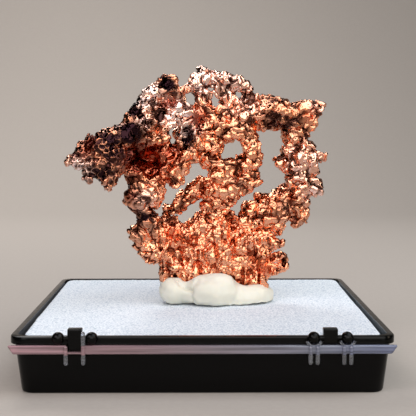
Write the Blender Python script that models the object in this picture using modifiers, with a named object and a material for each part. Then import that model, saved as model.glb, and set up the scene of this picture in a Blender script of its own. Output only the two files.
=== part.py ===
"""A lacy native copper nugget, pressed into putty on the foam of its hinged display box.

Metres, +Z up. The box's hinge side faces -Y and +X is to the right of it. The origin is on the
table, under the middle of the tray. Branch outlines are written in millimetres, with heights
measured from the foam that the nugget stands on.
"""

import math

import bmesh
import bpy
from mathutils import Matrix, Vector

MM = 0.001
GAP = 0.3 * MM

# Tray: a moulded base with a lip round its mouth
TRAY_SIZE = 82.5 * MM
TRAY_HEIGHT = 12.8 * MM
LIP_HEIGHT = 1.8 * MM
BODY_TOP = 81.0 * MM
BODY_BOTTOM = 78.8 * MM
WALL = 1.2 * MM
FLOOR = 1.5 * MM
CORNER_RADIUS = 3.0 * MM
EDGE_RADIUS = 0.3 * MM
CORNER_SEGMENTS = 3

# Foam: cut a little out of square, narrower at the hinge side
FOAM_TOP = TRAY_HEIGHT
FOAM_NEAR = 77.4 * MM
FOAM_FAR = 79.0 * MM
FOAM_LENGTH = 79.0 * MM
FOAM_BASE_NEAR = 75.4 * MM
FOAM_BASE_FAR = 75.8 * MM
FOAM_BASE_LENGTH = 76.0 * MM
FOAM_CORNER = 2.6 * MM
FOAM_EDGE = 0.4 * MM

# Hinges: a square lug between two ball knuckles, on the lip
HINGE_OFFSET = 27.1 * MM
BALL_SPACING = 7.1 * MM
BALL_RADIUS = 1.35 * MM
BALL_HEIGHT = 12.55 * MM
BALL_PROUD = 0.45 * MM
PIN_RADIUS = 0.5 * MM
LUG_WIDTH = 3.1 * MM
LUG_TOP = 14.6 * MM
LUG_DEPTH = 2.1 * MM
LUG_PROUD = 0.95 * MM
LONG_LUG_BOTTOM = 10.0 * MM
SHORT_LUG_BOTTOM = 11.4 * MM

# Clear hinge edge of the lid, in front of the tray
STRIP_WIDTH = 82.6 * MM
STRIP_TOP = 11.1 * MM
STRIP_HEIGHT = 1.8 * MM
STRIP_DEPTH = 1.2 * MM
STRIP_END_TAPER = 1.2 * MM
STRIP_EDGE = 0.2 * MM
LEG_RADIUS = 0.42 * MM
LEG_BOTTOM = 7.0 * MM
LEG_PROUD = 0.1 * MM
LEG_SPREAD = 0.75 * MM
LUG_LEG_SPREAD = 1.85 * MM
LUG_LEG_TOP = 14.2 * MM
CUP_RADIUS = 1.65 * MM
CUP_WIRE = 0.3 * MM
CUP_FRONT = 0.85 * MM

# Putty: three lobes pressed round the foot of the nugget
PUTTY_VOXEL = 0.6 * MM
PUTTY_FACES = 580

# Copper
COPPER_VOXEL = 0.45 * MM
COPPER_FACES = 4750
LUMP_SIZE = 2.4 * MM
LUMP_HEIGHT = 0.7 * MM
SPHERES_PER_RADIUS = 2.5


# ------------------------------------------------------------------ scene and small helpers


def clear_scene():
    for obj in list(bpy.data.objects):
        bpy.data.objects.remove(obj, do_unlink=True)


def new_collection(name):
    collection = bpy.data.collections.new(name)
    bpy.context.scene.collection.children.link(collection)
    return collection


def make_material(name, color, roughness, metallic=0.0, transmission=0.0):
    material = bpy.data.materials.new(name)
    material.use_nodes = True
    shader = material.node_tree.nodes["Principled BSDF"]
    shader.inputs["Base Color"].default_value = (*color, 1.0)
    shader.inputs["Roughness"].default_value = roughness
    shader.inputs["Metallic"].default_value = metallic
    shader.inputs["Transmission Weight"].default_value = transmission
    return material


def add_object(name, bm, collection, material=None):
    mesh = bpy.data.meshes.new(name)
    bm.to_mesh(mesh)
    bm.free()
    obj = bpy.data.objects.new(name, mesh)
    collection.objects.link(obj)
    if material:
        mesh.materials.append(material)
    return obj


def add_cutter(name, bm):
    obj = add_object(name, bm, CUTTERS)
    obj.hide_render = True
    obj.display_type = "WIRE"
    return obj


def boolean(obj, other, operation):
    modifier = obj.modifiers.new(f"{operation.lower()} {other.name}", "BOOLEAN")
    modifier.operation = operation
    modifier.solver = "EXACT"
    modifier.object = other
    return modifier


def baked_mesh(obj, name):
    """The object's mesh with its modifiers applied."""
    bpy.context.view_layer.update()
    depsgraph = bpy.context.evaluated_depsgraph_get()
    mesh = bpy.data.meshes.new_from_object(obj.evaluated_get(depsgraph))
    mesh.name = name
    return mesh


def tapered_block(bm, bottom, top, low, high, corner=0.0):
    """A block between heights low and high; bottom and top are its (near, far, length) widths."""
    verts = bmesh.ops.create_cube(bm, size=1.0)["verts"]
    for vert in verts:
        near, far, length = top if vert.co.z > 0 else bottom
        width = far if vert.co.y > 0 else near
        vert.co.x *= width
        vert.co.y *= length
        vert.co.z = high if vert.co.z > 0 else low
    if corner:
        upright = [
            edge
            for edge in {edge for vert in verts for edge in vert.link_edges}
            if abs(edge.verts[0].co.z - edge.verts[1].co.z) > 0.9 * (high - low)
        ]
        bmesh.ops.bevel(
            bm,
            geom=upright,
            offset=corner,
            segments=CORNER_SEGMENTS,
            profile=0.5,
            affect="EDGES",
            clamp_overlap=True,
        )


def round_edges(obj, radius, segments=1):
    bevel = obj.modifiers.new("rounded edges", "BEVEL")
    bevel.width = radius
    bevel.segments = segments
    bevel.limit_method = "ANGLE"
    bevel.angle_limit = math.radians(50)
    return bevel


def add_bar(bm, start, end, radius, segments=8):
    """A round bar between two points."""
    start, end = Vector(start), Vector(end)
    turn = (end - start).to_track_quat("Z", "Y").to_matrix().to_4x4()
    middle = Matrix.Translation((start + end) / 2) @ turn
    bmesh.ops.create_cone(
        bm,
        cap_ends=True,
        segments=segments,
        radius1=radius,
        radius2=radius,
        depth=(end - start).length,
        matrix=middle,
    )


# ------------------------------------------------------------------ tray and hinges


def hinge_lug(x, bottom):
    """The square block between a hinge's two balls, with its bevelled top edge."""
    front = -TRAY_SIZE / 2 - LUG_PROUD
    bm = bmesh.new()
    widths = (LUG_WIDTH, LUG_WIDTH, LUG_DEPTH)
    tapered_block(bm, widths, widths, bottom, LUG_TOP)
    bmesh.ops.translate(bm, verts=bm.verts, vec=(x, front + LUG_DEPTH / 2, 0))
    lug = add_cutter(f"hinge_lug_{'left' if x < 0 else 'right'}", bm)
    round_edges(lug, EDGE_RADIUS)
    return lug


def hinge_pin(x):
    """The pin through the lug, and the ball on each end of it."""
    y = -TRAY_SIZE / 2 - BALL_PROUD
    side = "left" if x < 0 else "right"
    ends = [x - BALL_SPACING / 2, x + BALL_SPACING / 2]
    bm = bmesh.new()
    add_bar(bm, (ends[0], y, BALL_HEIGHT), (ends[1], y, BALL_HEIGHT), PIN_RADIUS)
    pieces = [add_cutter(f"hinge_pin_{side}", bm)]
    for end, place in zip(ends, ("outer", "inner")):
        bm = bmesh.new()
        centre = Matrix.Translation((end, y, BALL_HEIGHT))
        bmesh.ops.create_uvsphere(
            bm, u_segments=12, v_segments=8, radius=BALL_RADIUS, matrix=centre
        )
        pieces.append(add_cutter(f"hinge_ball_{side}_{place}", bm))
    return pieces


def make_tray(material):
    """The moulded base: a tapered body, a lip round its mouth, and two hinges on the lip."""
    bm = bmesh.new()
    tapered_block(
        bm,
        (BODY_BOTTOM,) * 3,
        (BODY_TOP,) * 3,
        0.0,
        TRAY_HEIGHT - LIP_HEIGHT / 2,
        CORNER_RADIUS,
    )
    tray = add_object("tray", bm, PARTS, material)
    round_edges(tray, 2 * EDGE_RADIUS)

    bm = bmesh.new()
    lip_low = TRAY_HEIGHT - LIP_HEIGHT
    tapered_block(
        bm, (TRAY_SIZE,) * 3, (TRAY_SIZE,) * 3, lip_low, TRAY_HEIGHT, CORNER_RADIUS
    )
    lip = add_cutter("tray_lip", bm)
    round_edges(lip, EDGE_RADIUS)
    boolean(tray, lip, "UNION")

    bm = bmesh.new()
    inner_bottom = BODY_BOTTOM - 2 * WALL
    inner_top = BODY_TOP - 1.2 * WALL
    tapered_block(
        bm,
        (inner_bottom,) * 3,
        (inner_top,) * 3,
        FLOOR,
        TRAY_HEIGHT + WALL,
        CORNER_RADIUS - WALL / 2,
    )
    boolean(tray, add_cutter("tray_mouth", bm), "DIFFERENCE")

    for x, bottom in (
        (-HINGE_OFFSET, LONG_LUG_BOTTOM),
        (HINGE_OFFSET, SHORT_LUG_BOTTOM),
    ):
        for piece in [hinge_lug(x, bottom)] + hinge_pin(x):
            boolean(tray, piece, "UNION")
    return tray


def cup_ring(x):
    """The open ring that holds a ball from below."""
    y = -TRAY_SIZE / 2 - BALL_PROUD
    curve = bpy.data.curves.new("clip_cup", "CURVE")
    curve.dimensions = "3D"
    curve.bevel_depth = CUP_WIRE
    curve.bevel_resolution = 0
    curve.use_fill_caps = True
    spline = curve.splines.new("POLY")
    steps = 8
    spline.points.add(steps)
    for index in range(steps + 1):
        angle = math.radians(200 + 140 * index / steps)
        point = (
            x + CUP_RADIUS * math.cos(angle),
            y - CUP_FRONT,
            BALL_HEIGHT + CUP_RADIUS * math.sin(angle),
        )
        spline.points[index].co = (*point, 1.0)
    guide = bpy.data.objects.new("clip_cup", curve)
    CUTTERS.objects.link(guide)
    bm = bmesh.new()
    mesh = baked_mesh(guide, "clip_cup")
    bm.from_mesh(mesh)
    bmesh.ops.remove_doubles(bm, verts=bm.verts, dist=0.00001)
    bpy.data.objects.remove(guide)
    bpy.data.meshes.remove(mesh)
    return add_cutter("clip_cup", bm)


def make_hinge_strip(material):
    """The lid's clear hinge edge: a flat rail with the legs and cups of its two clips."""
    y_front = -TRAY_SIZE / 2 - GAP - STRIP_DEPTH
    bm = bmesh.new()
    tapered_block(
        bm,
        (STRIP_WIDTH - 2 * STRIP_END_TAPER,) * 2 + (STRIP_DEPTH,),
        (STRIP_WIDTH,) * 2 + (STRIP_DEPTH,),
        STRIP_TOP - STRIP_HEIGHT,
        STRIP_TOP,
    )
    bmesh.ops.translate(bm, verts=bm.verts, vec=(0, y_front + STRIP_DEPTH / 2, 0))
    strip = add_object("lid_hinge_strip", bm, PARTS, material)
    round_edges(strip, STRIP_EDGE)

    bm = bmesh.new()
    notch = LUG_WIDTH + 2 * GAP
    size = (notch, notch, 4 * STRIP_DEPTH)
    tapered_block(bm, size, size, LONG_LUG_BOTTOM - GAP, LUG_TOP)
    bmesh.ops.translate(bm, verts=bm.verts, vec=(-HINGE_OFFSET, y_front, 0))
    boolean(strip, add_cutter("lug_notch", bm), "DIFFERENCE")

    legs = [(-HINGE_OFFSET - LUG_LEG_SPREAD, STRIP_TOP)]
    legs += [(-HINGE_OFFSET + LUG_LEG_SPREAD, LUG_LEG_TOP)]
    for ball in (HINGE_OFFSET - BALL_SPACING / 2, HINGE_OFFSET + BALL_SPACING / 2):
        boolean(strip, cup_ring(ball), "UNION")
        legs += [(ball - LEG_SPREAD, STRIP_TOP), (ball + LEG_SPREAD, STRIP_TOP)]
    for number, (x, top) in enumerate(legs, start=1):
        bm = bmesh.new()
        y = y_front - LEG_PROUD
        add_bar(bm, (x, y, LEG_BOTTOM), (x, y, top), LEG_RADIUS)
        leg = add_cutter(f"clip_leg_{number}", bm)
        round_edges(leg, 0.7 * LEG_RADIUS, 2)
        boolean(strip, leg, "UNION")
    return strip


# ------------------------------------------------------------------ foam


def make_foam(material):
    """The cut pad that fills the tray, squeezed narrower towards the tray's floor."""
    bm = bmesh.new()
    tapered_block(
        bm,
        (FOAM_BASE_NEAR, FOAM_BASE_FAR, FOAM_BASE_LENGTH),
        (FOAM_NEAR, FOAM_FAR, FOAM_LENGTH),
        FLOOR + GAP,
        FOAM_TOP,
        FOAM_CORNER,
    )
    foam = add_object("foam_pad", bm, PARTS, material)
    round_edges(foam, FOAM_EDGE)
    return foam


# ------------------------------------------------------------------ limbs of copper and putty


def smooth_path(points):
    """Points along a Catmull-Rom curve through (x, y, height, radius) stations, in metres."""
    stations = [
        Vector((x * MM, y * MM, FOAM_TOP + h * MM, r * MM)) for x, y, h, r in points
    ]
    stations = [stations[0]] + stations + [stations[-1]]
    path = []
    for a, b, c, d in zip(stations, stations[1:], stations[2:], stations[3:]):
        span = (c - b).to_3d().length
        steps = max(2, math.ceil(SPHERES_PER_RADIUS * span / min(b[3], c[3])))
        for step in range(steps):
            t = step / steps
            path.append(
                0.5
                * (
                    2 * b
                    + (c - a) * t
                    + (2 * a - 5 * b + 4 * c - d) * t**2
                    + (3 * b - a - 3 * c + d) * t**3
                )
            )
    return path + [stations[-1]]


def add_limb(bm, points):
    """A round limb, as balls that overlap along its path and follow its swelling radius."""
    for x, y, z, radius in smooth_path(points):
        bmesh.ops.create_icosphere(
            bm, subdivisions=2, radius=radius, matrix=Matrix.Translation((x, y, z))
        )


def fuse(obj, voxel, faces, lump_size=0.0, lump_height=0.0):
    """Melts an object's overlapping balls into one skin, swells lumps on it, and thins its faces."""
    remesh = obj.modifiers.new("fuse", "REMESH")
    remesh.mode = "VOXEL"
    remesh.voxel_size = voxel
    if lump_size:
        texture = bpy.data.textures.new("metal lumps", "CLOUDS")
        texture.noise_scale = lump_size
        texture.noise_depth = 1
        lumps = obj.modifiers.new("lumps", "DISPLACE")
        lumps.texture = texture
        lumps.texture_coords = "GLOBAL"
        lumps.strength = lump_height
        lumps.mid_level = 0.5
    decimate = obj.modifiers.new("thin out", "DECIMATE")
    current = len(baked_mesh(obj, "counted").loop_triangles)
    decimate.ratio = min(1.0, faces / current)


def foot_limbs():
    """Five fluted stems that rise from the putty, and two small nubs on the right."""
    return [
        [(-7.5, 1, 5, 2.8), (-7.5, 1, 10, 3.3), (-7, 1, 14, 3.5), (-7, 0, 18, 3)],
        [(-2, 0, 5, 3), (-2, 1, 10, 3.7), (-1.5, 2, 16, 4), (-0.5, 2, 20, 2.8)],
        [(4, 2, 5, 3.3), (4, 1, 11, 4), (4, 1, 16.5, 4), (4, 2, 20.5, 3.1)],
        [(9.5, 3, 4.5, 2.8), (9, 3, 10, 3.8), (10, 3, 15.5, 4), (11, 3, 20, 2.8)],
        [(14.5, 3, 3, 2.4), (13.5, 3, 7, 3.1), (14, 3, 11.5, 2.9), (15, 4, 15.5, 3.3)],
        [(15, 3, 16, 2.4), (17.5, 2, 15.3, 1.2), (19.5, 1, 14.8, 1)],
        [(15, 3, 8.5, 2), (17.5, 2, 10.7, 0.8), (20.5, 2, 11.5, 1.1), (21, 2, 10, 1)],
        [(21, 2, 10, 1), (20, 2, 8.5, 1.1), (17, 3, 7.5, 1.5)],
    ]


def left_column_limbs():
    """Ball-shaped lobes stacked up the left side, below the hollow."""
    return [
        [(-9, 0, 15.5, 2.3), (-11, -1, 14.5, 2.6), (-13, -2, 12.5, 2.1)],
        [(-13, -2, 12.5, 1.9), (-14.5, -2, 15.5, 1.6), (-16.5, -3, 18.5, 1.7)],
        [(-11, -1, 16.5, 2.8), (-12.5, -2, 19.5, 2.4), (-14, -3, 21.5, 2.5)],
        [(-16.3, -3, 18.3, 1.7), (-16, -3, 16.2, 1.6), (-14.5, -2, 14, 1.8)],
        [(-14, -3, 21.5, 2.3), (-14.5, -4, 24, 2.1), (-17, -5, 27, 2.8)],
        [(-17, -5, 27, 2.8), (-12.8, -5, 27.7, 3)],
        [(-17, -5, 27, 2.3), (-16, -6, 30.5, 2.2), (-17.5, -8, 33.5, 1.3)],
        [(-12.8, -5, 27.7, 2.6), (-11.7, -5, 30.5, 2.1), (-12, -3, 33, 2.3)],
    ]


def hollow_limbs():
    """The thin curved wall behind the deep hollow between the wing and the shoulder."""
    return [
        [(-17.5, -7, 33.5, 1.6), (-17, -4, 35, 2), (-16.5, -3, 37.5, 2.4)],
        [(-16.5, -3, 37.5, 2.3), (-15.5, -4, 39.5, 1.8), (-15.5, -6, 42, 2)],
        [(-12, -3, 33, 2.3), (-13, -1, 36.5, 2.3), (-12.5, -3, 39.5, 1.8)],
        [(-12.5, -3, 39.5, 1.8), (-12.5, -6, 42, 2)],
        [(-11, -3, 34.5, 2), (-9.5, -3, 37, 2), (-8.5, -4, 39, 1.4)],
        [(-19.5, -9, 40, 2), (-17.5, -6, 39, 2)],
        [(-19, -9, 40, 2), (-19.3, -9.5, 36, 1.5), (-20.3, -10.5, 34, 1.2)],
        [(-9.5, -3, 37, 1.8), (-6, -4, 37.5, 1.5)],
        [(-14.5, -3, 33.5, 1.8), (-14.5, -2, 36.5, 1.8)],
    ]


def left_wing_limbs():
    """The ribbed wing that sweeps forward to the left, with a spur, a nub and a spike."""
    return [
        [(-17.5, -10, 43, 2.8), (-22.5, -12, 40, 2.7), (-27.8, -14, 38.4, 2.3)],
        [(-27.8, -14, 38.4, 2.3), (-30, -15, 37, 1.8), (-31.4, -15, 36.2, 1.1)],
        [(-21, -12, 39, 2.2), (-22, -12, 35, 2.2), (-22.7, -12, 32, 1.8)],
        [(-22.7, -12, 32, 1.8), (-23.1, -12, 30.2, 1.1)],
        [(-25, -12.5, 37, 2.1), (-24.8, -12.5, 34, 1.6)],
        [(-26.5, -13, 36, 1.6), (-27, -13, 33.5, 0.9), (-27, -13, 32, 0.5)],
        [(-26.5, -13, 40.5, 1.1), (-27, -13, 43, 0.4)],
        [(-20.5, -11, 42.2, 1.4), (-23, -12, 41.3, 1), (-24.5, -13, 42, 0.6)],
    ]


def shoulder_limbs():
    """The crumpled upper left, with two knobs, and the strut that comes down from it."""
    return [
        [(-16.5, -10, 46, 1.9), (-14.6, -9, 48.3, 2.1), (-12.5, -8, 50.4, 2.3)],
        [(-12.5, -8, 50.4, 2.3), (-10.5, -7, 51.8, 2.4), (-8, -6, 52.5, 1.8)],
        [(-10, -7, 53, 1.5), (-9, -7, 54.3, 1.5), (-7, -7, 54.8, 1)],
        [(-13, -8, 51, 1.4), (-13, -8, 52.5, 1)],
        [(-8, -6, 53, 1.2), (-5, -5, 53.5, 0.7), (-2.5, -3, 54, 1.1)],
        [(-6, -5, 53.3, 0.9), (-6, -5, 51, 1.1), (-5.6, -5, 48.5, 1.5)],
        [(-11.5, -7, 49, 2.5), (-8, -6, 48.5, 2.3), (-5, -5, 48, 1.9), (-2, -3, 47.5, 1.6)],
        [(-16.2, -10, 44.3, 2.4), (-13, -9, 46, 2.2), (-10, -8, 45.5, 1.6), (-7, -7, 45, 0.8)],
        [(-15.5, -9, 43, 2), (-12.5, -8, 42.5, 2), (-9.5, -7, 42, 1.4)],
        [(-4, -4, 47, 1.8), (-3.5, -4, 44, 2.2), (-3.5, -4, 41, 2.5), (-3, -3, 37.5, 2.3)],
        [(-4.5, -4, 37.5, 2.3), (-6, -5, 36, 2), (-8, -6, 34, 1.9), (-9, -6, 32.5, 1.5)],
        [(-7.2, -5, 34.5, 1.3), (-7.2, -5, 31.8, 1.3)],
        [(-5, -4.5, 42.5, 1.4), (-5.5, -4.5, 40, 1.2), (-5, -4, 38, 1.5)],
    ]


def crown_limbs():
    """The tower at the top, the arc that runs down from it, and the bars beneath the arc."""
    return [
        [(-2.5, -3, 54.5, 1), (0, -3, 57, 1.8), (0, -3, 54, 1.9), (0, -2, 50.5, 1.8)],
        [(0, -2, 50.5, 1.8), (0, -2, 47.5, 1.8)],
        [(0, -3, 57, 1.7), (4, -2, 56, 1.9), (7, -2, 55.5, 1.9), (10, -1, 54.5, 1.3)],
        [(10, -1, 54.5, 1.3), (13, -1, 53, 0.8), (15, 0, 51.5, 1)],
        [(4, -2, 55, 1.8), (5.5, -2, 52.5, 1.6), (7.5, -1, 50.5, 1.5)],
        [(7.5, -1, 50.5, 1.5), (11, -1, 50.5, 1.3), (14.5, 0, 50.5, 1.7)],
        [(2, -1, 47.5, 1.6), (6, -1, 48, 2.3), (10.5, 0, 47.5, 2.7), (14, 0, 48, 2.9)],
    ]


def heart_limbs():
    """The middle of the nugget: a ring round an oval window, and a strand down to the left."""
    return [
        [(0, -1, 46, 1.9), (1, -1, 42.5, 2.7), (1.5, -1, 39.5, 2.6), (1.5, -1, 36, 2.1)],
        [(3, -1, 45.7, 2.3), (6.5, -1, 44.4, 2.5), (10.3, -1, 43.2, 2.2), (12.2, -1, 41, 1.9)],
        [(12.5, -1, 41, 1.8), (12.5, -1, 37.5, 1.9), (12.5, 0, 34.5, 2), (12, 1, 31, 2.2)],
        [(-1, -1, 37.7, 1.9), (2, -1, 35.9, 1.7), (6, -1, 35.4, 1.7), (10, -1, 35.5, 1.9)],
        [(3.5, 0, 32.5, 2.3), (7.5, 1, 32.5, 2.8), (11.5, 1, 32, 2.3)],
        [(3.5, 1, 28.5, 3.5), (7, 1, 28.5, 3.3), (10.5, 1, 30.5, 2.3)],
        [(0, 1, 29.4, 2.1), (-2.9, 1, 27.3, 1.8), (-5.1, 1, 25.4, 1.8), (-7.3, 0, 22.8, 1.9)],
        [(-7.5, 0, 22.7, 2), (-8.8, 0, 20.3, 2.1)],
        [(3, 1, 26.5, 2.8), (2.5, 1, 24, 2.8), (2.5, 2, 21.5, 2.3)],
        [(5, 1, 26.5, 2.2), (6, 1, 24.3, 2.1), (6, 2, 22.3, 2)],
    ]


def right_arm_limbs():
    """The thick arm across the top right, ending in a bright blunt tip."""
    return [
        [(15.5, 0, 48, 3.4), (18.5, 1, 48.5, 3.8), (21.5, 2, 47.5, 3.5), (25, 2, 48.2, 3)],
        [(25, 2, 48.2, 3), (28.5, 2, 49.1, 2), (30, 2, 49, 1.3)],
        [(21.5, 2, 45.2, 2), (24.5, 3, 45.5, 2.6), (27, 3, 45.8, 1.9)],
        [(15.2, 0, 46, 2.2), (18, 1, 46, 1.5), (20, 2, 45.6, 1.5)],
    ]


def right_bow_limbs():
    """The beaded bow that comes down the right side and turns in to the foot."""
    return [
        [(23.4, 3, 44, 3.2), (23.7, 3, 41, 3.4), (24.7, 3, 38, 4.2), (24.4, 3, 34.5, 3.8)],
        [(24.5, 3, 34.5, 3.7), (24.5, 3, 32, 3.4), (24, 4, 28.5, 3.8), (21.5, 4, 25.5, 4)],
        [(21.5, 4, 25.5, 4), (18, 4, 22.5, 3.8), (15, 4, 21, 3.6)],
        [(22.5, 3, 36.5, 2.1), (20, 3, 35.7, 1.5)],
        [(27.5, 3, 36.5, 1.6), (31, 3, 37, 0.9)],
        [(26.3, 3, 35, 2.4), (28, 3, 33.7, 1.4)],
        [(26.5, 4, 30, 2.4), (29.5, 4, 28.5, 1.6)],
        [(24.5, 4, 25.5, 3), (24.8, 4, 22, 2.2), (24, 3, 20.2, 1.3)],
        [(18, 4, 25.5, 2.1), (15, 4, 26.5, 1.4)],
        [(15, 4, 22.5, 2.8), (11.5, 3, 23.5, 1.9)],
        [(19, 3, 20, 2.2), (19.3, 3, 18, 1.1)],
    ]


def cross_limbs():
    """Short growths towards the front and the back, which give the lace its thickness."""
    return [
        [(2, 1, 13, 3), (2.5, -3, 12.5, 2)],
        [(10, 3, 15, 3), (10.5, -1.5, 15.5, 2)],
        [(-4, 1, 16, 2.6), (-4.5, -2.5, 16.5, 1.8)],
        [(0, 2, 14, 3), (-1, 6.5, 13, 2.2)],
        [(11, 3, 12, 3), (12, 8, 13, 2.2), (13, 9.5, 15.5, 1.4)],
        [(6, 1, 29, 3), (6, 5.5, 27.5, 2)],
        [(9, 1, 31, 2.5), (9.5, -2, 31, 1.8)],
        [(5, -1, 43, 2.5), (6, 4, 43, 1.6), (7.5, 5.5, 42.2, 1.1)],
        [(8, -1, 47.5, 2), (8.5, 4, 48.5, 1.5)],
        [(20, 1, 47.5, 3), (21, 6.5, 46.5, 2)],
        [(24.5, 3, 35, 3), (25.5, 8, 34, 2), (24.5, 9.5, 32, 1.3)],
        [(22, 4, 26, 3), (21, 8.5, 25, 2)],
        [(25, 3, 38, 3), (24, -1.5, 37.5, 2)],
        [(-12, -7, 49, 2.2), (-12, -2, 50, 1.8), (-13, 0, 51.5, 1.1)],
        [(-16, -5, 28, 2.4), (-17, -1, 27, 1.8)],
        [(-4, -4, 42, 2), (-5, 1, 43, 1.6), (-4, 3, 44.5, 1)],
        [(-22, -12, 40, 2.2), (-22.5, -8.5, 39, 1.5)],
    ]


# ------------------------------------------------------------------ the nugget and its forks

# Where the planes that divide the branches meet, as (x, height above the foam) in millimetres
FORK = {
    "crescent foot": (-11, 22.2),
    "crescent bend": (-10.8, 23.5),
    "crescent low": (-9, 26.5),
    "crescent middle": (-9, 29.5),
    "crescent high": (-2.5, 33.3),
    "crescent tip": (-1, 34.8),
    "lower window": (-4, 22.5),
    "big window foot": (8.3, 24),
    "big window low": (12.5, 27.5),
    "big window middle": (17, 31),
    "big window high": (17.8, 38),
    "big window top": (17.5, 42.6),
    "foot left high": (-10.2, 18),
    "foot left low": (-10.8, 11),
    "foot left end": (-12, 8.5),
    "bow notch": (20.5, 16.3),
    "wing top": (-20.8, 48),
    "wing root high": (-19.7, 44),
    "wing root low": (-19.7, 34.5),
    "wing notch": (-19.7, 31),
    "wing notch low": (-21, 29),
    "hollow floor": (-10, 34.2),
    "heart left": (-1, 46),
    "crown left": (-2, 47),
    "crown foot": (4, 45.5),
    "crown foot right": (12, 45.5),
    "arm root low": (14.3, 43.6),
    "arm root high": (14.8, 50),
    "bow neck left": (19, 43.8),
    "bow neck right": (32, 43.8),
}

# The corners of each branch's share of the nugget; a pair of numbers is a corner out in the air
BRANCHES = {
    "copper_foot": (
        ["crescent foot", "lower window", "big window foot", "bow notch", (26, 14)]
        + [(26, -1), (-14, -1), "foot left end", "foot left low", "foot left high"]
    ),
    "copper_left_column": (
        ["crescent foot", "foot left high", "foot left low", "foot left end", (-24, 6)]
        + [(-26, 28), "wing notch low", "wing notch", "wing root low", "hollow floor"]
        + ["crescent middle", "crescent low", "crescent bend"]
    ),
    "copper_left_wing": (
        ["wing top", "wing root high", "wing root low", "wing notch", "wing notch low"]
        + [(-26, 28), (-40, 28), (-40, 48)]
    ),
    "copper_shoulder": (
        ["wing top", "wing root high", "wing root low", "hollow floor"]
        + ["crescent middle", "crescent high", "crescent tip", "heart left"]
        + ["crown left", (-2, 62), (-20.8, 62)]
    ),
    "copper_crown": (
        [(-2, 62), "crown left", "heart left", "crown foot", "crown foot right"]
        + ["arm root low", "arm root high", (14.8, 62)]
    ),
    "copper_heart": (
        ["heart left", "crescent tip", "crescent high", "crescent middle"]
        + ["crescent low", "crescent bend", "crescent foot", "lower window"]
        + ["big window foot", "big window low", "big window middle", "big window high"]
        + ["big window top", "arm root low", "crown foot right", "crown foot"]
    ),
    "copper_right_arm": (
        [(14.8, 62), "arm root high", "arm root low", "big window top"]
        + ["bow neck left", "bow neck right", (36, 48), (36, 62)]
    ),
    "copper_right_bow": (
        ["bow neck left", "big window top", "big window high", "big window middle"]
        + ["big window low", "big window foot", "bow notch", (36, 16.3), (36, 48)]
        + ["bow neck right"]
    ),
}


def make_whole_nugget():
    """The nugget in one piece, before it is divided at its forks."""
    bm = bmesh.new()
    for limbs in (
        foot_limbs,
        left_column_limbs,
        hollow_limbs,
        left_wing_limbs,
        shoulder_limbs,
        crown_limbs,
        heart_limbs,
        right_arm_limbs,
        right_bow_limbs,
        cross_limbs,
    ):
        for points in limbs():
            add_limb(bm, points)
    whole = add_cutter("whole_nugget", bm)
    fuse(whole, COPPER_VOXEL, COPPER_FACES, LUMP_SIZE, LUMP_HEIGHT)
    return whole


def branch_share(name, corners):
    """A slab through the nugget, front to back, that holds one branch and stops short of its forks."""
    half_depth = 30 * MM
    bm = bmesh.new()
    verts = []
    for corner in corners:
        x, height = FORK[corner] if isinstance(corner, str) else corner
        verts.append(bm.verts.new((x * MM, -half_depth, FOAM_TOP + height * MM)))
    face = bm.faces.new(verts)
    rim = bmesh.ops.inset_region(
        bm, faces=[face], thickness=GAP / 2, use_even_offset=True, use_boundary=True
    )["faces"]
    bmesh.ops.delete(bm, geom=rim, context="FACES")
    sides = bmesh.ops.extrude_face_region(bm, geom=[face])["geom"]
    moved = [item for item in sides if isinstance(item, bmesh.types.BMVert)]
    bmesh.ops.translate(bm, verts=moved, vec=(0, 2 * half_depth, 0))
    bmesh.ops.recalc_face_normals(bm, faces=bm.faces)
    return add_cutter(f"share_of_{name}", bm)


def make_branches(material):
    """The nugget's branches: the whole cut to each one's share."""
    whole = make_whole_nugget()
    skin = baked_mesh(whole, "nugget_skin")
    for name, corners in BRANCHES.items():
        branch = bpy.data.objects.new(name, skin.copy())
        branch.data.materials.append(material)
        PARTS.objects.link(branch)
        boolean(branch, branch_share(name, corners), "INTERSECT")
    return skin


# ------------------------------------------------------------------ putty


def make_putty(material, skin):
    """Three pressed lobes of putty on the foam, with the socket that the nugget's foot made."""
    lobes = [
        [(-7.2, -1.5, 3.2, 3.8), (-7, 3, 3.2, 4), (-4, 7, 2.8, 3.8)],
        [(-0.2, -2.4, 3.2, 4.5), (4.6, -2.4, 3.3, 4.6), (4, 7, 3, 4.2)],
        [(13, -1, 1.6, 3.4), (15, 2.5, 1.4, 3.5), (12, 7, 2, 3.8)],
        [(3.5, -2, 2.6, 4), (12, -1, 1, 3.5)],
    ]
    bm = bmesh.new()
    for points in lobes:
        add_limb(bm, points)
    putty = add_object("mounting_putty", bm, PARTS, material)
    fuse(putty, PUTTY_VOXEL, PUTTY_FACES)

    bm = bmesh.new()
    size = (80 * MM,) * 3
    tapered_block(bm, size, size, FOAM_TOP - 40 * MM, FOAM_TOP + GAP)
    boolean(putty, add_cutter("foam_plane", bm), "DIFFERENCE")

    socket = bpy.data.objects.new("putty_socket", skin.copy())
    CUTTERS.objects.link(socket)
    socket.hide_render = True
    socket.display_type = "WIRE"
    swell = socket.modifiers.new("clearance", "DISPLACE")
    swell.strength = GAP
    swell.mid_level = 0.0
    boolean(putty, socket, "DIFFERENCE")
    return putty


# ------------------------------------------------------------------ the model

clear_scene()
PARTS = new_collection("native_copper_nugget")
CUTTERS = new_collection("cutters")

BLACK = make_material("black polystyrene", (0.012, 0.012, 0.014), 0.22)
CLEAR = make_material("clear polystyrene", (0.75, 0.68, 0.74), 0.15, transmission=0.7)
FOAM = make_material("white foam", (0.82, 0.85, 0.9), 0.95)
PUTTY = make_material("mineral tack", (0.78, 0.74, 0.62), 0.6)
COPPER = make_material("native copper", (0.86, 0.36, 0.2), 0.3, metallic=1.0)

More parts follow.
